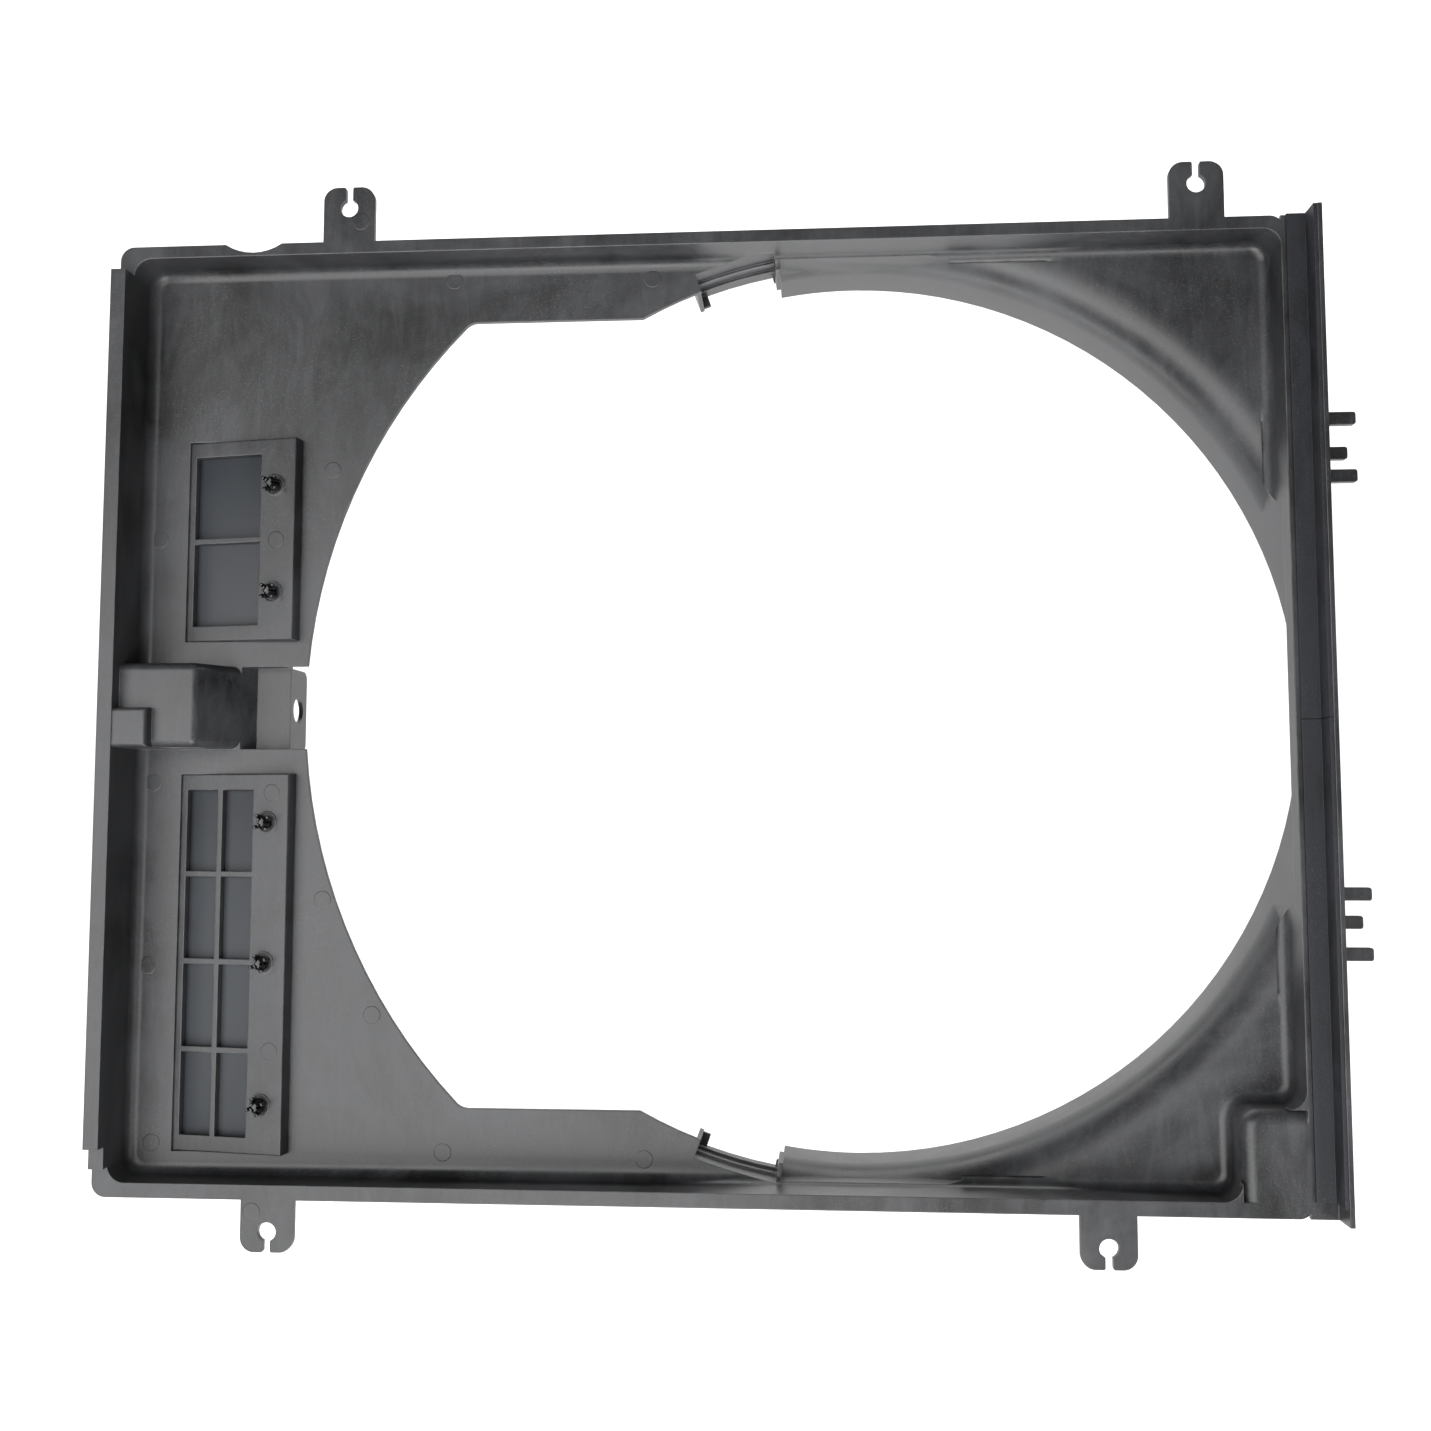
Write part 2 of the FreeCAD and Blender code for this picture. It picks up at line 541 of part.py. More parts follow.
def moulding():
    seats, pits, extras = zip(socket("SocketTop", True), socket("SocketLow", False))
    shell = cut("ShroudShell", join("ShroudSolid", *trayOutsides(seats)), *trayHollows())
    windows = []
    for name in ("upper", "lower"):
        centre, height = name + "Centre", name + "Height"
        windows.append(inVent(block(name + "Window", ("0", "ventWidth"), ("-ventReach", "ventReach"),
                                    (f"-{height} / 2", f"{height} / 2")), centre))
        bind(windows[-1], Placement_Base_z=f"{centre} - {height} / 2",
             Placement_Base_x=f"{LEFT} + ventInset - ventReach * sin(ventTilt)",
             Placement_Base_y="trayDepth + ventSunk - ventReach * cos(ventTilt)")
    raised = join("ShroudRaised", shell, *saddleOutsides())
    opened = cut("ShroudOpened", raised, *saddleHollows(), *pits, *windows)
    whole = join("Shroud", opened, bracketPlate(), *tabs(), *extras[0], *extras[1])
    whole.Refine = True
    whole.Label = "shroud"
    return whole


# ---- vent frames, flaps and rivets ---------------------------------------------------------

WINDOW_RIGHT = "ventWidth - ventMarginRight"
RIVET_LINE = "(ventWidth - rivetEdge)"
windowU = ("ventMarginLeft", WINDOW_RIGHT)
SEAT = "ventThick"                                   # back face of the frame's plate
HINGE = f"{WINDOW_RIGHT} + hingeInset"
LEAF_FRONT, LEAF_BACK = f"{SEAT} + flapGap", f"{SEAT} + flapGap + flapThick"


def ventFrame(name, centre, height, rivets, rows, columns):
    """Tilted grille plate whose skirt runs back to the panel, with a boss for each rivet."""
    frame = newBody(name.capitalize() + "Frame")
    frame.Label = name + "_vent_frame"
    half = f"{height} / 2"
    wedge = sketchOn(frame, "XY_Plane", f"-{half}")
    backEnd = "(wall - ventSunk + ventWidth * sin(ventTilt)) / cos(ventTilt)"
    backStart = f"{SEAT} * cos(ventTilt) / sin(ventTilt) - (wall - ventSunk) / sin(ventTilt)"
    loop(wedge, [("0", "0"), ("ventWidth", "0"), ("ventWidth", backEnd), (backStart, SEAT), ("0", SEAT)])
    made = feature(frame, "Pad", wedge, height)
    soften(frame, made, "ventEdge", lambda edge: liesAt(DEPTH, "0")(edge)
           and not liesAt(ACROSS, "0")(edge))
    behind = sketchOn(frame, "XZ_Plane", f"-{SEAT}")
    rectangle(behind, ("-1", "ventWidth - wall"), (f"-{half} + wall", f"{half} - wall"))
    feature(frame, "Pocket", behind, "ventReach")
    grille = sketchOn(frame, "XZ_Plane")
    cellW = f"({WINDOW_RIGHT} - ventMarginLeft - {columns - 1} * barWidth) / {columns}"
    cellH = f"({height} - 2 * ventMarginEnd - {rows - 1} * barWidth) / {rows}"
    for column in range(columns):
        for row in range(rows):
            left = f"ventMarginLeft + {column} * ({cellW} + barWidth)"
            low = f"-{half} + ventMarginEnd + {row} * ({cellH} + barWidth)"
            rectangle(grille, (left, f"{left} + {cellW}"), (low, f"{low} + {cellH}"))
    feature(frame, "Pocket", grille, SEAT)
    spots = [f"({height} - 2 * rivetEnd) * {step / (rivets - 1) - 0.5}" for step in range(rivets)]
    boss = sketchOn(frame, "XZ_Plane")
    for spot in spots:
        ring(boss, "bossRadius", RIVET_LINE, spot)
        ring(boss, "bossRadius - bossWall", RIVET_LINE, spot)
    feature(frame, "Pad", boss, "bossHeight")
    holes = sketchOn(frame, "XZ_Plane")
    for spot in spots:
        ring(holes, "rivetHole", RIVET_LINE, spot)
    feature(frame, "Pocket", holes, SEAT)
    return inVent(frame, centre), spots


def flap(name, centre, height):
    """Rubber flap: root strip under the rivets, and the leaf that swings on its bent edge."""
    root, leaf = newBody(name.capitalize() + "Root"), newBody(name.capitalize() + "Leaf")
    root.Label, leaf.Label = name + "_flap_root", name + "_flap"
    halfLeaf = f"({height} / 2 - ventMarginEnd + flapLapEnd)"
    axis = (HINGE, f"{LEAF_FRONT} + flapThick / 2")
    outline = [("ventMarginLeft - flapLapSide", LEAF_FRONT), (HINGE, LEAF_FRONT, *axis),
               (f"{HINGE} + flapThick / 2", axis[1], *axis), (HINGE, LEAF_BACK),
               ("ventMarginLeft - flapLapSide", LEAF_BACK)]
    sketch = sketchOn(leaf, "XY_Plane", f"-{halfLeaf}")
    loop(sketch, outline)
    feature(leaf, "Pad", sketch, f"2 * {halfLeaf}")
    start = f"{HINGE} + flapThick / 2 + flapGap"
    sketch = sketchOn(root, "XZ_Plane", f"-({SEAT})")
    rectangle(sketch, (start, "ventWidth - rootInset"), (f"-{halfLeaf}", halfLeaf))
    feature(root, "Pad", sketch, "flapThick", reverse=True)
    return inVent(root, centre), inVent(leaf, centre)


def rootHoles(root, spots):
    holes = sketchOn(root, "XZ_Plane", f"-({SEAT})")
    for spot in spots:
        ring(holes, "rivetHole", RIVET_LINE, spot)
    feature(root, "Pocket", holes, "flapThick")


def rivet(name, centre, spot):
    """Two-part push rivet: split shank with barbs, and the pin that spreads it."""
    shankR, boreR = "rivetHole - rivetFit", "pinRadius + pinFit"
    headY = (f"{SEAT} + flapThick", f"{SEAT} + flapThick + rivetHeadThick")
    sleeve = newBody(name + "Sleeve")
    sketch = sketchOn(sleeve, "XY_Plane")
    nose = [("noseRadius", "-rivetNose"), ("barbRadius", "-barbFront"), (shankR, "-barbBack")]
    loop(sketch, [(boreR, "-rivetNose"), *nose, (shankR, headY[0]), ("rivetHead", headY[0]),
                  ("rivetHead", headY[1]), (boreR, headY[1])])
    turned(sleeve, sketch)
    for turn, role in enumerate(("YZ_Plane", "XY_Plane")):
        slot = sketchOn(sleeve, role, "-slotWidth / 2")
        spread = ("-rivetHead", "rivetHead")
        depth = ("-rivetNose", "-barbBack + slotWidth")
        rectangle(slot, *((depth, spread) if role == "YZ_Plane" else (spread, depth)))
        feature(sleeve, "Pocket", slot, "slotWidth", reverse=True)
    pin = newBody(name + "Pin")
    sketch = sketchOn(pin, "XY_Plane")
    crown = f"{headY[1]} + pinHeadThick"
    loop(sketch, [("0", "-pinTip"), ("pinRadius", "-pinTip"), ("pinRadius", headY[1]),
                  ("pinHead", headY[1]), ("pinHead", crown), ("0", crown)])
    turned(pin, sketch)
    for piece in (sleeve, pin):
        place(piece, f"{LEFT} + ventInset + {RIVET_LINE} * cos(ventTilt)",
              f"trayDepth + ventSunk - {RIVET_LINE} * sin(ventTilt)", f"{centre} + {spot}", angle="-ventTilt")
    return sleeve, pin


def turned(body, sketch):
    """Full turn about the sketch's upright axis."""
    made = body.newObject("PartDesign::Revolution", body.Name + "Turn")
    made.Profile = sketch
    made.ReferenceAxis = (sketch, ["V_Axis"])
    made.Angle = 360
    sketch.Visibility = False


def vents():
    nodes, count = [], 0
    for name, rivets, rows, columns in (("upper", 2, 2, 1), ("lower", 3, 4, 2)):
        centre, height = name + "Centre", name + "Height"
        frame, spots = ventFrame(name, centre, height, rivets, rows, columns)
        root, leaf = flap(name, centre, height)
        rootHoles(root, spots)
        nodes += [frame, root, leaf]
        for spot in reversed(spots):
            count += 1
            sleeve, pin = rivet(f"Rivet{count}", centre, spot)
            sleeve.Label, pin.Label = f"rivet_{count}_sleeve", f"rivet_{count}_pin"
            nodes += [sleeve, pin]
    return nodes


# ---- right rail: seal strips and hose clips ------------------------------------------------

def seals():
    """Two angle strips that line the right rail and butt at the joint."""
    inner, lip = f"{RIGHT} + sealInset", f"{uprightX[0]} - sealThick"
    outline = [(inner, "0"), (inner, "-sealThick"), (lip, "-sealThick"), (lip, "-uprightFront + sealInset"),
               (uprightX[0], "-uprightFront + sealInset"), (uprightX[0], "0")]
    spans = {"upper_side_seal": ("-sealJoint + sealGap / 2", TOP),
             "lower_side_seal": (f"{BOTTOM} + sealBottom", "-sealJoint - sealGap / 2")}
    strips = []
    for label, span in spans.items():
        strips.append(bar("Seal" + label.split("_")[0].capitalize(), outline[::-1], span))
        strips[-1].Label = label
    return strips


CLIP_REACH = "(prongPitch + prongHeight / 2)"
BULGE_HALF = f"sqrt(max(0; pow(ringRadius + ringDraft + wall; 2) - pow({RIGHT} + shelfWidth; 2)))"


def hoseClip(label, centre):
    """Three prongs in two rows that pinch a hose, on a foot against the rail's outer face."""
    body = newBody("Clip" + label.split("_")[0].capitalize())
    body.Label = label
    front = ("-clipFront", "-clipFront + prongThick")
    rear = (f"{front[1]} + clipGap", f"{front[1]} + clipGap + prongThick")
    foot = sketchOn(body, "YZ_Plane", uprightX[1])
    rectangle(foot, (front[0], rear[1]), (f"{centre} - {CLIP_REACH}", f"{centre} + {CLIP_REACH}"))
    feature(body, "Pad", foot, "clipBase")
    for step, row in ((-1, front), (0, rear), (1, front)):
        prong = sketchOn(body, "XZ_Plane", f"-({row[0]})")
        middle = f"{centre} + {step} * prongPitch"
        rectangle(prong, (uprightX[1], f"{uprightX[1]} + clipBase + prongReach"),
                  (f"{middle} - prongHeight / 2", f"{middle} + prongHeight / 2"))
        made = feature(body, "Pad", prong, f"({row[1]}) - ({row[0]})", reverse=True)
    tips = liesAt(ACROSS, f"{uprightX[1]} + clipBase + prongReach")
    soften(body, made, "prongCorner", lambda edge: runsAlong(DEPTH)(edge) and tips(edge))
    return body


NODES = [moulding(), *vents(), *seals(),
         hoseClip("upper_hose_clip", f"({BULGE_HALF} + clipAbove + {CLIP_REACH})"),
         hoseClip("lower_hose_clip", f"-({BULGE_HALF} + clipBelow + {CLIP_REACH})")]

doc.recompute()
for thing in doc.Objects:
    if "Invalid" in thing.State or "Error" in thing.State:
        raise RuntimeError(f"{thing.Label} failed: {thing.State}")
for node in NODES:
    if node.Shape.isNull() or not node.Shape.isValid() or not node.Shape.Solids:
        raise RuntimeError(f"{node.Label} has no sound solid")
os.makedirs("parts", exist_ok=True)
for node in NODES:
    node.Shape.exportStep(f"parts/{node.Label}.step")
    print(node.Label, len(node.Shape.Solids), round(node.Shape.Volume))
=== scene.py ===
import math

import bmesh
import bpy
from mathutils import Matrix, Vector


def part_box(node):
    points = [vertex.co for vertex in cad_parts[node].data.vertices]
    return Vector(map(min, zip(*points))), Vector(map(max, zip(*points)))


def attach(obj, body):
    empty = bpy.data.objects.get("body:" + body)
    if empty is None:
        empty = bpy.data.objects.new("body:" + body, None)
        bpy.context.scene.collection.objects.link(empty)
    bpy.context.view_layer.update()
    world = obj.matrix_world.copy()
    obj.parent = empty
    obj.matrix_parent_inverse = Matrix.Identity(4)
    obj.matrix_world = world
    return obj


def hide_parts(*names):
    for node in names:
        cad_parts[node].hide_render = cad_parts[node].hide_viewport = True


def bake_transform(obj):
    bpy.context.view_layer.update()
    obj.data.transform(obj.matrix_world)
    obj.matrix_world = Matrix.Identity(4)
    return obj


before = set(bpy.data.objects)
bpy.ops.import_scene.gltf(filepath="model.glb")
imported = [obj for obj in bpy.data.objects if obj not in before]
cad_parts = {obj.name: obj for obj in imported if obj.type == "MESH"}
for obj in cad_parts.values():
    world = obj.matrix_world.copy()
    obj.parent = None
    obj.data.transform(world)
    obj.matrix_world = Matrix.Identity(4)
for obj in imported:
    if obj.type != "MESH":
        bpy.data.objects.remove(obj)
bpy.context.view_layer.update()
mm = 0.001
joined = 1e-6    # points nearer than this, in metres, are one point
rimAngle = 57    # faces that meet at more than this, in degrees, get a rounded edge
print("stage: frame loaded")


# ---- helpers for materials

def feed(tree, node, linked):
    # linked: pairs of an input and what it gets, a node's output or a plain value
    for socket, source in linked:
        if isinstance(source, bpy.types.NodeSocket):
            tree.links.new(source, node.inputs[socket])
        else:
            node.inputs[socket].default_value = source


def addNode(tree, kind, *linked, **settings):
    node = tree.nodes.new("ShaderNode" + kind)
    for name, value in settings.items():
        setattr(node, name, value)
    feed(tree, node, linked)
    return node


def mapped(tree, source, low, high, outLow=0.0, outHigh=1.0):
    return addNode(tree, "MapRange", ("Value", source), ("From Min", low), ("From Max", high),
                   ("To Min", outLow), ("To Max", outHigh)).outputs["Result"]


# inputs 0, 6 and 7 of a Mix node are its factor and its two colours, and output 2 its colour
def blended(tree, factor, first, second):
    return addNode(tree, "Mix", (0, factor), (6, first), (7, second), data_type="RGBA").outputs[2]


def counted(tree, operation, first, second):
    return addNode(tree, "Math", (0, first), (1, second), operation=operation, use_clamp=True).outputs[0]


def newGroup(name, inputs, outputs):
    tree = bpy.data.node_groups.new(name, "ShaderNodeTree")
    for label, kind, value in inputs:
        socket = tree.interface.new_socket(label, in_out="INPUT", socket_type="NodeSocket" + kind)
        if value is not None:
            socket.default_value = value
    for label, kind in outputs:
        tree.interface.new_socket(label, in_out="OUTPUT", socket_type="NodeSocket" + kind)
    return tree, tree.nodes.new("NodeGroupInput").outputs, tree.nodes.new("NodeGroupOutput").inputs


def useGroup(tree, group, *linked):
    return addNode(tree, "Group", *linked, node_tree=group).outputs


# cloudy marks that the melt leaves as it flows, from large patches down to streaks
def makeFlowMarks():
    tree, given, out = newGroup("flowMarks", [("Place", "Vector", None)],
                                [("Cloud", "Float"), ("Streak", "Float")])
    cloud = addNode(tree, "TexNoise", ("Vector", given["Place"]), ("Scale", 9.0), ("Detail", 7.0),
                    ("Roughness", 0.62), ("Distortion", 0.8))
    tree.links.new(mapped(tree, cloud.outputs["Fac"], 0.36, 0.66), out["Cloud"])
    bent = addNode(tree, "Mapping", ("Vector", given["Place"]), ("Rotation", (0, math.radians(24), 0)),
                   ("Scale", (85, 85, 22)))
    streak = addNode(tree, "TexNoise", ("Vector", bent.outputs[0]), ("Scale", 1.0), ("Detail", 5.0),
                     ("Roughness", 0.7), ("Distortion", 1.6))
    tree.links.new(mapped(tree, streak.outputs["Fac"], 0.42, 0.72), out["Streak"])
    return tree


# small pale specks that gather in patches
def makeDust():
    tree, given, out = newGroup("settledDust", [("Place", "Vector", None), ("Amount", "Float", 0.5)],
                                [("Mask", "Float")])
    patch = addNode(tree, "TexNoise", ("Vector", given["Place"]), ("Scale", 16.0), ("Detail", 4.0))
    fine = addNode(tree, "TexNoise", ("Vector", given["Place"]), ("Scale", 950.0), ("Detail", 3.0),
                   ("Roughness", 0.7))
    speck = mapped(tree, fine.outputs["Fac"], 0.55, 0.74)
    patches = mapped(tree, patch.outputs["Fac"], 0.4, 0.7, 0.15, 1.0)
    spread = counted(tree, "MULTIPLY", speck, patches)
    tree.links.new(counted(tree, "MULTIPLY", spread, given["Amount"]), out["Mask"])
    return tree


# painted highlight along the rims: a pale colour where the rounded normal leaves the flat one, broken
# into patches; the rounded normal is passed on as well
def makeRimNormalAndPaintedHighlight():
    tree, given, out = newGroup("rimNormalAndPaintedHighlight", [("Place", "Vector", None), ("Reach", "Float", 0.0008)],
                                [("Mask", "Float"), ("Normal", "Vector")])
    rounded = addNode(tree, "Bevel", ("Radius", given["Reach"]), samples=8)
    flat = addNode(tree, "NewGeometry")
    along = addNode(tree, "VectorMath", (0, rounded.outputs[0]), (1, flat.outputs["Normal"]),
                    operation="DOT_PRODUCT")
    # share of the painted rim highlight, highest where the rounded normal turns furthest from the flat
    # one
    rimShare = mapped(tree, along.outputs["Value"], 0.995, 0.80)
    patch = addNode(tree, "TexNoise", ("Vector", given["Place"]), ("Scale", 75.0), ("Detail", 4.0))
    broken = mapped(tree, patch.outputs["Fac"], 0.35, 0.62, 0.25, 1.0)
    tree.links.new(counted(tree, "MULTIPLY", rimShare, broken), out["Mask"])
    tree.links.new(rounded.outputs[0], out["Normal"])
    return tree


flowMarks, settledDust, rimNormalAndPaintedHighlight = makeFlowMarks(), makeDust(), makeRimNormalAndPaintedHighlight()

# dark and pale: the two colours of the flow marks; the rim colour and dust: colours laid over them,
# the rim colour a painted highlight along the rounded rims, dust by its amount; rough: from the smoothest
# to the roughest; grain: bump and scale of the fine texture; streaks: share of the streaks; reach: width
# of the rounded rims and of their painted highlight, in metres
finishes = {
    "mouldedPlastic": {"dark": (0.006, 0.0063, 0.0070, 1), "pale": (0.048, 0.049, 0.052, 1),
                       "paintedRimHighlight": (0.19, 0.19, 0.195, 1), "dust": (0.17, 0.17, 0.17, 1), "amount": 0.4,
                       "rough": (0.32, 0.52), "grain": 0.07, "grainScale": 900.0, "streaks": 0.3,
                       "reach": 0.0009},
    "flapRubber": {"dark": (0.012, 0.0145, 0.018, 1), "pale": (0.020, 0.0235, 0.029, 1),
                   "paintedRimHighlight": (0.05, 0.05, 0.055, 1), "dust": (0.10, 0.10, 0.105, 1), "amount": 0.12,
                   "rough": (0.52, 0.64), "grain": 0.02, "grainScale": 1600.0, "streaks": 0.1,
                   "reach": 0.0004},
    "sealRubber": {"dark": (0.004, 0.0045, 0.006, 1), "pale": (0.012, 0.0130, 0.018, 1),
                   "paintedRimHighlight": (0.04, 0.04, 0.045, 1), "dust": (0.08, 0.08, 0.090, 1), "amount": 0.7,
                   "rough": (0.55, 0.8), "grain": 0.09, "grainScale": 700.0, "streaks": 0.9,
                   "reach": 0.0005},
    "rivetPlastic": {"dark": (0.004, 0.004, 0.0045, 1), "pale": (0.010, 0.010, 0.011, 1),
                     "paintedRimHighlight": (0.03, 0.03, 0.03, 1), "dust": (0.08, 0.08, 0.08, 1), "amount": 0.06,
                     "rough": (0.10, 0.22), "grain": 0.01, "grainScale": 1500.0, "streaks": 0.1,
                     "reach": 0.0003},
}


# how far each layer shows, the same in every finish; one of them is the painted highlight along the rims
layers = {"cloud": 0.75, "paintedRimHighlight": 0.55, "dustRough": 0.85, "grainWave": 0.5, "streakWave": 0.4,
          "deep": 0.001}


def makeFinish(name):
    look = finishes[name]
    material = bpy.data.materials.new(name)
    material.use_nodes = True
    tree = material.node_tree
    shader = tree.nodes["Principled BSDF"]
    place = addNode(tree, "TexCoord").outputs["Object"]
    flow = useGroup(tree, flowMarks, ("Place", place))
    dust = useGroup(tree, settledDust, ("Place", place), ("Amount", look["amount"]))
    rimNormalAndHighlight = useGroup(tree, rimNormalAndPaintedHighlight, ("Place", place), ("Reach", look["reach"]))
    marks = counted(tree, "ADD", counted(tree, "MULTIPLY", flow["Cloud"], layers["cloud"]),
                    counted(tree, "MULTIPLY", flow["Streak"], look["streaks"]))
    colour = blended(tree, marks, look["dark"], look["pale"])
    # painted highlight: a pale colour laid along the rounded rims
    colour = blended(tree, counted(tree, "MULTIPLY", rimNormalAndHighlight["Mask"], layers["paintedRimHighlight"]), colour, look["paintedRimHighlight"])
    colour = blended(tree, dust["Mask"], colour, look["dust"])
    smoothest, roughest = look["rough"]
    level = mapped(tree, marks, 0.0, 1.0, smoothest, roughest)
    dusty = (layers["dustRough"],) * 3 + (1,)
    grain = addNode(tree, "TexNoise", ("Vector", place), ("Scale", look["grainScale"]), ("Detail", 2.0))
    waves = counted(tree, "ADD", counted(tree, "MULTIPLY", grain.outputs["Fac"], layers["grainWave"]),
                    counted(tree, "MULTIPLY", flow["Streak"], layers["streakWave"]))
    bump = addNode(tree, "Bump", ("Strength", look["grain"]), ("Distance", layers["deep"]),
                   ("Height", waves), ("Normal", rimNormalAndHighlight["Normal"]))
    feed(tree, shader, [("Base Color", colour), ("Roughness", blended(tree, dust["Mask"], level, dusty)),
                        ("Normal", bump.outputs[0])])
    return material


materials = {name: makeFinish(name) for name in finishes}
print("stage: finishes made")


# ---- helpers for pieces

def finishPiece(mesh, name, finish, body):
    # mesh: a bmesh in metres, already where it belongs
    data = bpy.data.meshes.new(name)
    mesh.to_mesh(data)
    mesh.free()
    piece = bpy.data.objects.new(name, data)
    bpy.context.scene.collection.objects.link(piece)
    data.materials.append(materials[finish])
    if body:
        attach(piece, body)
    return piece


# smooth faces, with a sharp edge wherever they meet at more than the angle
def smoothSides(mesh, degrees):
    for face in mesh.faces:
        face.smooth = True
    for edge in mesh.edges:
        edge.smooth = not (len(edge.link_faces) == 2 and edge.calc_face_angle(0) > math.radians(degrees))


# bevels every sharp edge
def roundRims(mesh, reach):
    rims = [edge for edge in mesh.edges if edge.calc_face_angle(0) > math.radians(rimAngle)]
    bmesh.ops.bevel(mesh, geom=rims, offset=reach * mm, offset_type="OFFSET", affect="EDGES", segments=2,
                    profile=0.5, material=-1)
    smoothSides(mesh, 35)


# keeps the ends of a small part flat where its rounded rims meet them
def flattenEnds(mesh):
    ends = max(5, max(len(face.verts) for face in mesh.faces))
    for face in mesh.faces:
        face.smooth = len(face.verts) < ends


# ---- the ring's lead-in: the tray's fillet is cut back to the ring, and the seats' mouths through it

# cut, reach, past, seatStart and seatEnd are angles off the vertical, in degrees; front, panel, end,
# seatFront and seatPanel are depths; core, throat, lips, seatInner and seatOuter are radii; levels
# are heights
ringMouth = {"cut": 9.52, "reach": 12.0, "past": 1.0, "front": 17.0, "panel": 24.02, "end": 72.2,
             "core": 240.0, "throat": 258.5, "throatLevel": 259.5, "lipTop": 262.5, "lipLow": 267.0,
             "levelTop": 258.99, "levelLow": 262.99, "seatStart": 10.066, "seatEnd": 20.046,
             "seatFront": 15.5, "seatPanel": 21.05, "seatInner": 256.4, "seatOuter": 267.98,
             "seatLevel": 262.0, "steps": 24}


# a piece of a ring between two depths, two radii and two angles, cut off flat at a level
def ringTool(depth, radius, angle, level, upper):
    mesh = bmesh.new()
    corners = [(depth[0], radius[0]), (depth[1], radius[0]), (depth[1], radius[1]), (depth[0], radius[1])]
    profile = mesh.faces.new([mesh.verts.new((0, y * mm, z * mm)) for y, z in corners])
    start = Matrix.Rotation(math.radians(-angle[1]), 4, "Y")
    bmesh.ops.transform(mesh, matrix=start, verts=mesh.verts)
    bmesh.ops.spin(mesh, geom=[profile, *profile.edges, *profile.verts], cent=(0, 0, 0), axis=(0, 1, 0),
                   angle=math.radians(angle[1] - angle[0]), steps=ringMouth["steps"])
    sliced = bmesh.ops.bisect_plane(mesh, geom=[*mesh.verts, *mesh.edges, *mesh.faces],
                                    plane_co=(0, 0, level * mm), plane_no=(0, 0, 1), clear_outer=True)
    rim = [item for item in sliced["geom_cut"] if isinstance(item, bmesh.types.BMEdge)]
    if rim:
        bmesh.ops.contextual_create(mesh, geom=rim)
    if not upper:
        bmesh.ops.transform(mesh, matrix=Matrix.Scale(-1, 4, (0, 0, 1)), verts=mesh.verts)
    bmesh.ops.recalc_face_normals(mesh, faces=mesh.faces)
    return mesh


def mouthTools():
    look = ringMouth
    tools = []
    for upper, lip, level in ((True, look["lipTop"], look["levelTop"]),
                              (False, look["lipLow"], look["levelLow"])):
        tools.append(ringTool((look["front"], look["panel"]), (look["core"], lip),
                              (-look["reach"], look["cut"]), level, upper))
        tools.append(ringTool((look["front"], look["end"]), (look["core"], look["throat"]),
                              (-look["past"], look["cut"]), look["throatLevel"], upper))
        tools.append(ringTool((look["seatFront"], look["seatPanel"]),
                              (look["seatInner"], look["seatOuter"]),
                              (look["seatStart"], look["seatEnd"]), look["seatLevel"], upper))
    return tools


# takes the tools out of a solid, one after the other, and closes the slivers that this leaves open
def carved(mesh, tools):
    solids = []
    for source in (mesh, *tools):
        data = bpy.data.meshes.new("carving")
        source.to_mesh(data)
        source.free()
        solids.append(bpy.data.objects.new("carving", data))
        bpy.context.scene.collection.objects.link(solids[-1])
    for tool in solids[1:]:
        step = solids[0].modifiers.new("carve", "BOOLEAN")
        step.operation, step.solver, step.object = "DIFFERENCE", "EXACT", tool
    bpy.context.view_layer.update()
    shaped = solids[0].evaluated_get(bpy.context.evaluated_depsgraph_get())
    result = bmesh.new()
    result.from_mesh(shaped.to_mesh())
    shaped.to_mesh_clear()
    for solid in solids:
        bpy.data.objects.remove(solid)
    bmesh.ops.dissolve_degenerate(result, dist=joined, edges=result.edges)
    bmesh.ops.holes_fill(result, edges=result.edges, sides=12)
    loose = [edge for edge in result.edges if len(edge.link_faces) != 2]
    print("carved:", len(result.faces), "faces,", len(loose), "open edges")
    return result


# ---- moulding, seals and rivets

rivets = range(1, 6)
dressed = {
    "mouldedPlastic": ("shroud_plastic", ["shroud", "upper_vent_frame", "lower_vent_frame",
                                          "upper_hose_clip", "lower_hose_clip"]),
    "sealRubber": ("seal_rubber", ["upper_side_seal", "lower_side_seal"]),
    "rivetPlastic": ("rivet_plastic",
                     [f"rivet_{rivet}_{half}" for rivet in rivets for half in ("sleeve", "pin")]),
}


# a CAD node's shape with its triangles joined, so curved walls shade as curves
def dressNode(node, finish):
    mesh = bmesh.new()
    mesh.from_mesh(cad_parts[node].data)
    bmesh.ops.remove_doubles(mesh, verts=mesh.verts, dist=joined)
    if node == "shroud":
        mesh = carved(mesh, mouthTools())
    smoothSides(mesh, 28)
    piece = finishPiece(mesh, node + "Dressed", finish, "shroud_body")
    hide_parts(node)


for finish, (slot, nodes) in dressed.items():
    for node in nodes:
        dressNode(node, finish)
print("stage: moulding, seals and rivets dressed")


# ---- rubber flaps: one sheet each, from the rivets to the free edge

# tilt, left and front place the vents; free, hinge and root are widths across them; the levels are
# depths behind their front faces
flaps = {"tilt": 8.5, "left": -391.0, "front": 25.5, "free": 0.5, "hinge": 46.5, "root": 64.5,
         "leafLevel": 4.35, "rootLevel": 4.05, "hingeLevel": 5.3, "thick": 1.9, "bend": 7.0,
         "bendSteps": 12, "leafLines": [15, 30], "round": 0.35}


def fromVent(u, v, z):
    # u across the vent to the right, v back from its front face, in millimetres
    turn = math.radians(flaps["tilt"])
    return Vector((flaps["left"] + u * math.cos(turn) + v * math.sin(turn),
                   flaps["front"] - u * math.sin(turn) + v * math.cos(turn), z)) * mm


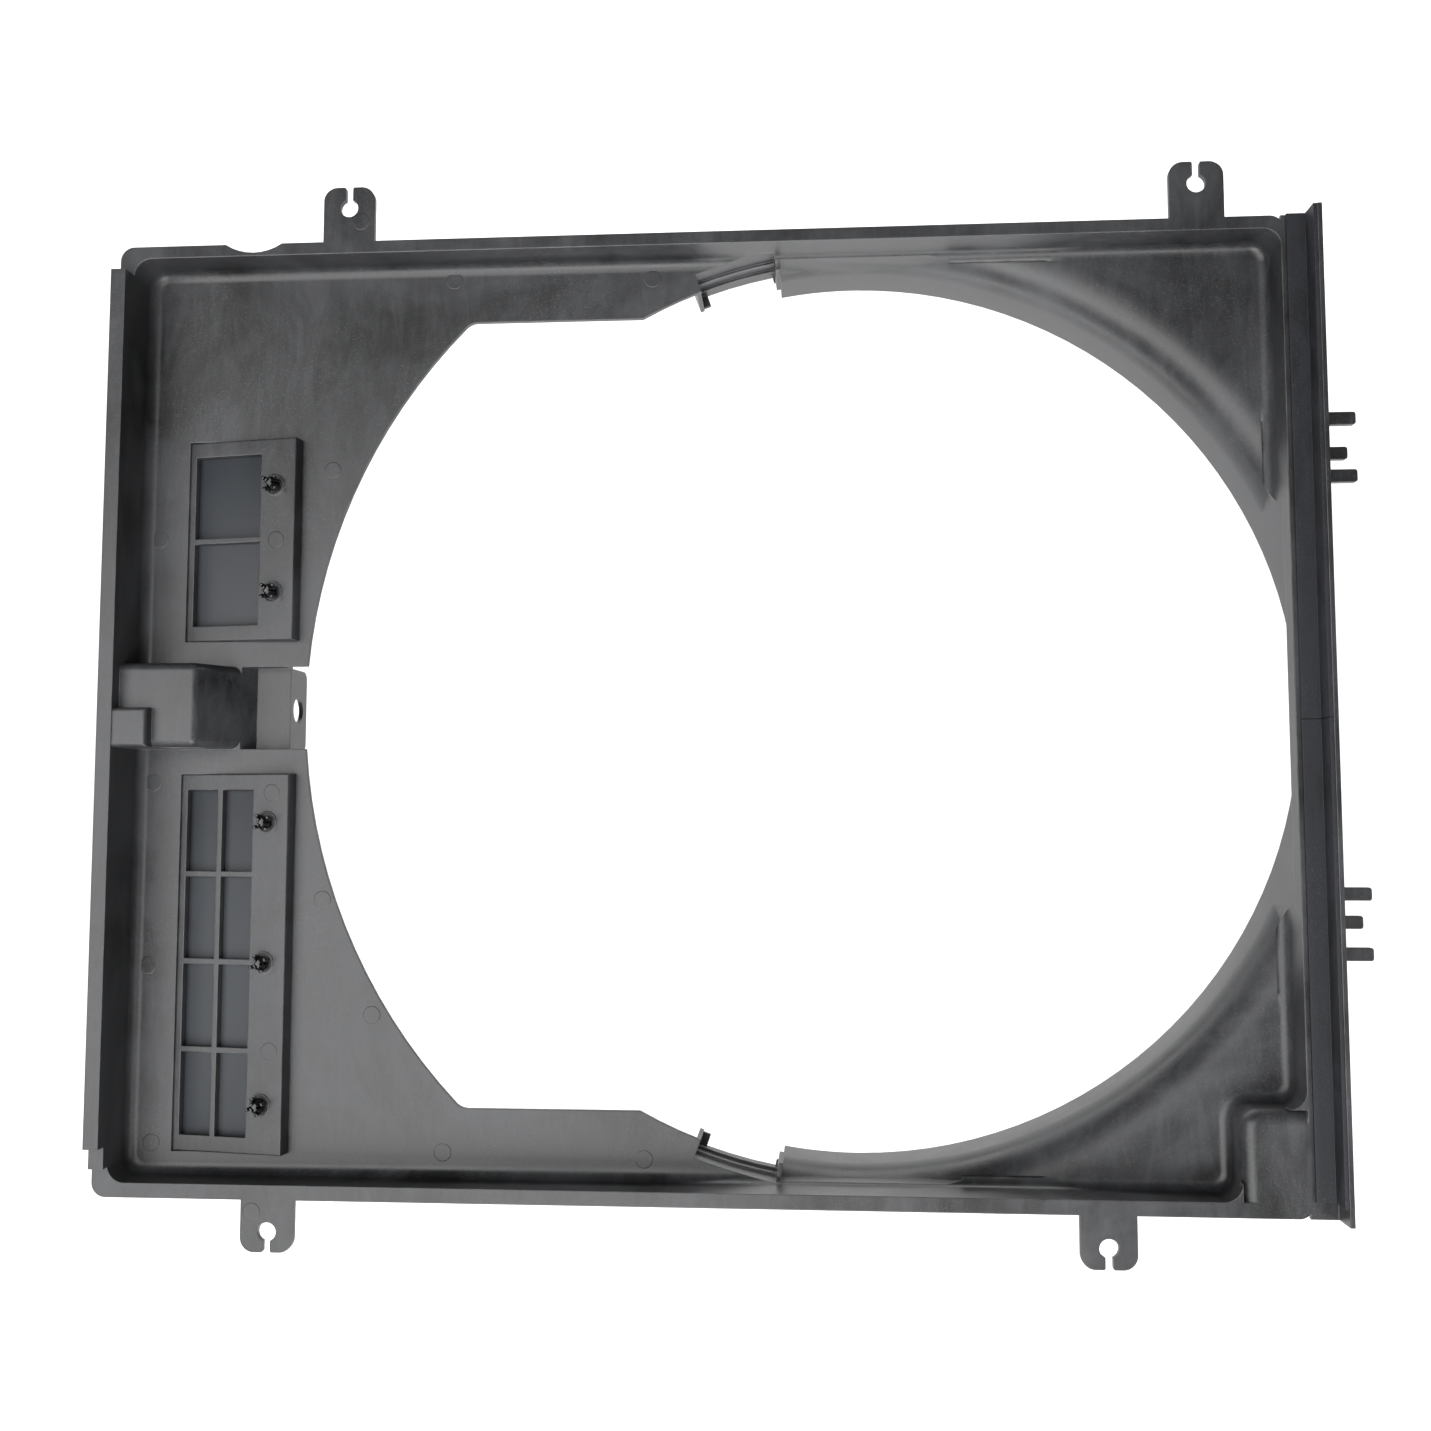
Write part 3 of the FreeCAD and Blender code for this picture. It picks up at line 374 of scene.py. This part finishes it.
def makeFlap(name, rootNode, leafNode):
    low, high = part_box(leafNode)
    bottom, top = low.z / mm, high.z / mm
    bend, steps = flaps["bend"], flaps["bendSteps"]
    bendStart, bendEnd = flaps["hinge"] - bend / 2, flaps["hinge"] + bend / 2
    across = [flaps["free"], *flaps["leafLines"],
              *(bendStart + bend * step / steps for step in range(steps + 1)), flaps["root"]]
    mesh = bmesh.new()
    line = []
    for u in across:
        share = min(1, max(0, (u - bendStart) / bend))
        level = flaps["leafLevel"] + (flaps["rootLevel"] - flaps["leafLevel"]) * share
        line.append(mesh.verts.new(fromVent(u, level, bottom)))
    for first, second in zip(line, line[1:]):
        mesh.edges.new((first, second))
    grown = bmesh.ops.extrude_edge_only(mesh, edges=mesh.edges[:])
    raised = [item for item in grown["geom"] if isinstance(item, bmesh.types.BMVert)]
    bmesh.ops.translate(mesh, verts=raised, vec=(0, 0, (top - bottom) * mm))
    back = fromVent(0, flaps["thick"], 0) - fromVent(0, 0, 0)
    solid = bmesh.ops.extrude_face_region(mesh, geom=mesh.faces[:])
    behind = [item for item in solid["geom"] if isinstance(item, bmesh.types.BMVert)]
    bmesh.ops.translate(mesh, verts=behind, vec=back)
    bmesh.ops.recalc_face_normals(mesh, faces=mesh.faces)
    roundRims(mesh, flaps["round"])
    piece = finishPiece(mesh, name, "flapRubber", None)
    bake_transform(piece)
    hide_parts(rootNode, leafNode)


for place in ("upper", "lower"):
    makeFlap(place + "FlapSheet", place + "_flap_root", place + "_flap")
print("stage: flaps made")


# ---- ejector marks: shallow round pads that the mould's pins leave

# places on the panel and the tabs are across and up; those on the frames are across the vent and up
ejectorMarks = {"radius": 5.0, "proud": 0.15, "round": 0.12, "panelFront": 24.0,
                "onPanel": [(-234, 252), (-117, 250), (-305, 140), (-408, 100), (-408, -43), (-306, -110),
                            (-408, -148), (-276, -175), (-403, -248), (-234, -251), (-120, -253)],
                "onFrames": [(56, 98), (57, -49), (59, -195)],
                "onTabs": [(-283, 279), (-334, -279)]}
ventTurn = Matrix.Rotation(-math.radians(flaps["tilt"]), 4, "Z")


# puts a small bmesh into a larger one, at its place
def addPart(whole, part, place):
    bmesh.ops.transform(part, matrix=place, verts=part.verts)
    data = bpy.data.meshes.new("part")
    part.to_mesh(data)
    part.free()
    whole.from_mesh(data)
    bpy.data.meshes.remove(data)


def makeEjectorMarks():
    look = ejectorMarks
    places = [Matrix.Translation(Vector((x, look["panelFront"], z)) * mm) for x, z in look["onPanel"]]
    places += [Matrix.Translation(Vector((x, 0, z)) * mm) for x, z in look["onTabs"]]
    places += [Matrix.Translation(fromVent(u, 0, z)) @ ventTurn for u, z in look["onFrames"]]
    radius = look["radius"] * mm
    marks = bmesh.new()
    for place in places:
        mark = bmesh.new()
        bmesh.ops.create_cone(mark, cap_ends=True, segments=40, radius1=radius, radius2=radius,
                              depth=2 * look["proud"] * mm)
        roundRims(mark, look["round"])
        flattenEnds(mark)
        addPart(marks, mark, place @ Matrix.Rotation(math.pi / 2, 4, "X"))
    finishPiece(marks, "ejectorMarks", "mouldedPlastic", "shroud_body")


makeEjectorMarks()
print("stage: ejector marks made")


# ---- rivet legs: the split ends of the push rivets, spread by their pins

# line: the rivets' place across the vent; front: where the legs end, before its face; inner: the legs'
# distance from the rivet's axis, and spread how much more that is at the tip; pinch: the tip's share
# of the width; firstTurn and step, in degrees, turn each rivet a little further than the last
rivetLegs = {"count": 4, "line": 54.5, "front": -7.4, "length": 6.6, "width": 2.6, "thick": 1.5,
             "inner": 3.3, "spread": 1.5, "pinch": 0.8, "round": 0.4, "firstTurn": 38.0, "step": 8.0}


def makeRivetLegs():
    look = rivetLegs
    size = Vector((look["width"], look["length"], look["thick"])) * mm
    middle = Vector((0, look["front"] + look["length"] / 2, look["inner"])) * mm
    legs = bmesh.new()
    for at, rivet in enumerate(rivets):
        low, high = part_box(f"rivet_{rivet}_pin")
        place = Matrix.Translation(fromVent(look["line"], 0, (low.z + high.z) / 2 / mm)) @ ventTurn
        for side in range(look["count"]):
            leg = bmesh.new()
            bmesh.ops.create_cube(leg, size=1)
            bmesh.ops.scale(leg, vec=size, verts=leg.verts)
            tip = [vert for vert in leg.verts if vert.co.y < 0]
            bmesh.ops.scale(leg, vec=(look["pinch"], 1, 1), verts=tip)
            bmesh.ops.translate(leg, vec=(0, 0, look["spread"] * mm), verts=tip)
            roundRims(leg, look["round"])
            flattenEnds(leg)
            bmesh.ops.translate(leg, vec=middle, verts=leg.verts)
            turn = look["firstTurn"] + at * look["step"] + side * 360 / look["count"]
            addPart(legs, leg, place @ Matrix.Rotation(math.radians(turn), 4, "Y"))
    finishPiece(legs, "rivetLegs", "rivetPlastic", "shroud_body")


makeRivetLegs()
print("stage: rivet legs made")


# ---- stage, light and camera

# a pale floor that curves up into a wall, in metres
studio = {"floor": -4.7, "wall": 2.66, "width": 19.6, "front": 8.4, "top": 9.0, "bend": 1.4, "steps": 12,
          "paper": (0.86, 0.86, 0.86, 1), "rough": 0.9, "air": (0.95, 0.97, 1, 1), "airLight": 0.1}


def makeStage():
    mesh = bmesh.new()
    half = studio["width"] / 2
    line = [mesh.verts.new((-half, -studio["front"], studio["floor"]))]
    centre = Vector((0, studio["wall"] - studio["bend"], studio["floor"] + studio["bend"]))
    for step in range(studio["steps"] + 1):
        turn = math.pi / 2 * step / studio["steps"]
        line.append(mesh.verts.new((-half, centre.y + studio["bend"] * math.sin(turn),
                                    centre.z - studio["bend"] * math.cos(turn))))
    line.append(mesh.verts.new((-half, studio["wall"], studio["top"])))
    for first, second in zip(line, line[1:]):
        mesh.edges.new((first, second))
    grown = bmesh.ops.extrude_edge_only(mesh, edges=mesh.edges[:])
    far = [item for item in grown["geom"] if isinstance(item, bmesh.types.BMVert)]
    bmesh.ops.translate(mesh, verts=far, vec=(studio["width"], 0, 0))
    for face in mesh.faces:
        face.smooth = True
    data = bpy.data.meshes.new("studioSweep")
    mesh.to_mesh(data)
    mesh.free()
    sweep = bpy.data.objects.new("studioSweep", data)
    bpy.context.scene.collection.objects.link(sweep)
    paper = bpy.data.materials.new("studioPaper")
    paper.use_nodes = True
    shader = paper.node_tree.nodes["Principled BSDF"]
    shader.inputs["Base Color"].default_value = studio["paper"]
    shader.inputs["Roughness"].default_value = studio["rough"]
    data.materials.append(paper)


# place, aim, width, height and power of each lamp
lamps = {
    "key": ((-0.75, -1.25, -0.12), (-0.1, 0.0, 0.0), 1.5, 1.2, 25.0),
    "low": ((-0.15, -1.1, -1.15), (-0.05, 0.0, 0.0), 1.2, 0.8, 27.0),
    "side": ((0.95, -1.0, -0.5), (-0.1, 0.0, 0.0), 0.4, 0.4, 3.5),
    "fill": ((0.1, -1.9, 0.5), (0.0, 0.0, 0.0), 1.6, 1.2, 3.5),
    "wallLow": ((0.0, 1.12, -2.8), (0.0, 2.66, -0.84), 8.4, 0.84, 235.0),
    "wallHigh": ((0.0, 0.98, 2.66), (0.0, 2.66, 0.28), 8.4, 0.7, 188.0),
}


def makeLamps():
    for name, (place, aim, width, height, power) in lamps.items():
        data = bpy.data.lights.new(name, "AREA")
        data.shape, data.size, data.size_y, data.energy = "RECTANGLE", width, height, power
        lamp = bpy.data.objects.new(name, data)
        lamp.location = place
        lamp.rotation_euler = (Vector(aim) - Vector(place)).to_track_quat("-Z", "Y").to_euler()
        lamp.visible_camera = False
        bpy.context.scene.collection.objects.link(lamp)
    world = bpy.data.worlds.new("studioAir")
    world.use_nodes = True
    air = world.node_tree.nodes["Background"]
    air.inputs["Color"].default_value = studio["air"]
    air.inputs["Strength"].default_value = studio["airLight"]
    bpy.context.scene.world = world


studioCamera = {"sensor": 36.0, "lens": 35.22, "near": 0.01, "place": (-0.0268, -0.7672, -0.0639),
                "forward": (-0.0671, 0.995, 0.0737)}


def makeCamera():
    look = studioCamera
    data = bpy.data.cameras.new("studioCamera")
    data.sensor_width, data.lens, data.clip_start = look["sensor"], look["lens"], look["near"]
    camera = bpy.data.objects.new("studioCamera", data)
    camera.location = look["place"]
    camera.rotation_euler = Vector(look["forward"]).to_track_quat("-Z", "Y").to_euler()
    bpy.context.scene.collection.objects.link(camera)
    bpy.context.scene.camera = camera


makeStage()
makeLamps()
makeCamera()
bpy.context.scene.view_settings.view_transform = "Standard"
print("stage: studio set")
